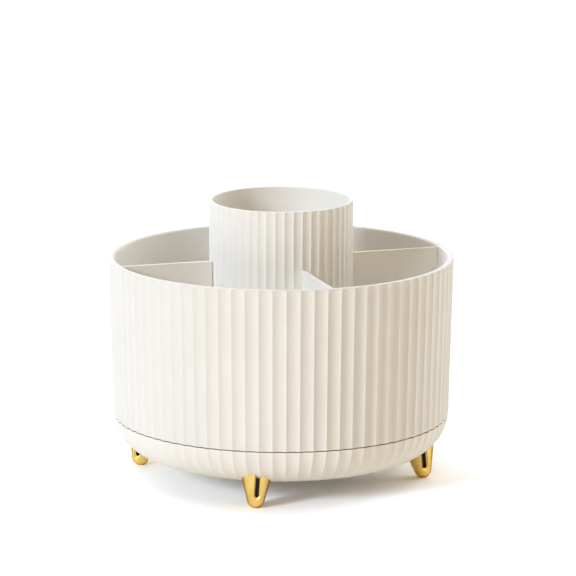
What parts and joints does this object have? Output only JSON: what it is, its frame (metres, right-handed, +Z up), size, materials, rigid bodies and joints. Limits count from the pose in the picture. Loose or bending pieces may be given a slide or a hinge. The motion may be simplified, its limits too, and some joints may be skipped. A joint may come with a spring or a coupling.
{
  "type": "rotating brush holder",
  "caption": "Round fluted desktop brush holder whose divided barrel turns on a low footed base, with a taller lift-out cup in the middle.",
  "frame": {"origin": "on the floor under the centre of the feet, on the axis of rotation", "axes": "+Z up along the axis of rotation, -Y to the front foot, +X to the right foot"},
  "size_m": [0.1998, 0.1998, 0.1615],
  "materials": {
    "ivory_plastic": "satin",
    "gold_plate": "polished",
    "steel": "zinc plated",
    "white_acetal": "moulded"
  },
  "bodies": {
    "base": {"base_shell": "ivory_plastic", "foot_front": "gold_plate", "foot_right": "gold_plate", "foot_back": "gold_plate", "foot_left": "gold_plate", "foot_screws": "steel", "lower_race": "steel", "lower_race_screws": "steel", "spindle": "steel", "spindle_nut": "steel", "retaining_washer": "steel", "retaining_screw": "steel"},
    "ball_cage": {"ball_cage": "white_acetal", "bearing_balls": "steel"},
    "rotor": {"barrel": "ivory_plastic", "divider_front": "ivory_plastic", "divider_right": "ivory_plastic", "divider_back": "ivory_plastic", "divider_left": "ivory_plastic", "upper_race": "steel", "upper_race_screws": "steel", "hub_bush": "white_acetal"},
    "cup": {"cup": "ivory_plastic"}
  },
  "joints": [
    {"name": "barrel_spin", "type": "hinge", "parent": "base", "child": "rotor", "pos_m": [0, 0, 0.03525], "axis": [0, 0, 1], "continuous": true},
    {"name": "cage_spin", "type": "hinge", "parent": "base", "child": "ball_cage", "pos_m": [0, 0, 0.02715], "axis": [0, 0, 1], "continuous": true},
    {"name": "cup_lift", "type": "slide", "parent": "rotor", "child": "cup", "axis": [0, 0, 1], "range_m": [0, 0.1]}
  ],
  "couplings": [
    {"joint": "cage_spin", "follows": "barrel_spin", "ratio": 0.5}
  ]
}
